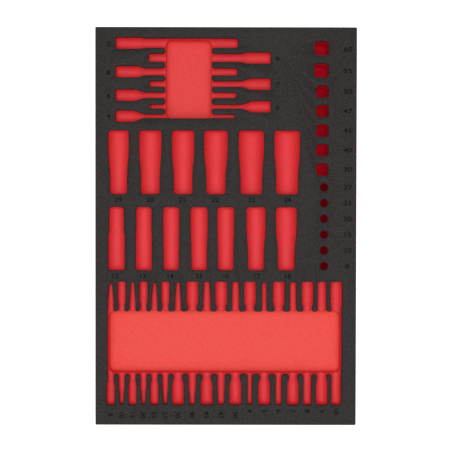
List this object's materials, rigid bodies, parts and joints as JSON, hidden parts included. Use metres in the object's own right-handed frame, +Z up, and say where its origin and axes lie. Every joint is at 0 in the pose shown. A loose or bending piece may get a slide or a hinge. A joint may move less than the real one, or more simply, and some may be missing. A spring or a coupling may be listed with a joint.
{
  "type": "foam tool insert",
  "caption": "Flat rectangular foam insert for a tool drawer: a thin black sheet on a thick red block, milled with pockets for deep sockets, long bit sockets and upright bits.",
  "frame": {"origin": "middle of the underside, on the surface that the insert rests on", "axes": "+X to the right, +Y from the front edge to the back edge, along the insert's length, +Z up through its thickness"},
  "size_m": [0.374, 0.57, 0.045],
  "materials": {
    "black_foam": "closed-cell polyethylene foam, matt, with a fine grain",
    "red_foam": "closed-cell polyethylene foam, matt, milled"
  },
  "bodies": {
    "root": {"black_top_sheet": "black_foam", "red_base_block": "red_foam"}
  },
  "joints": []
}
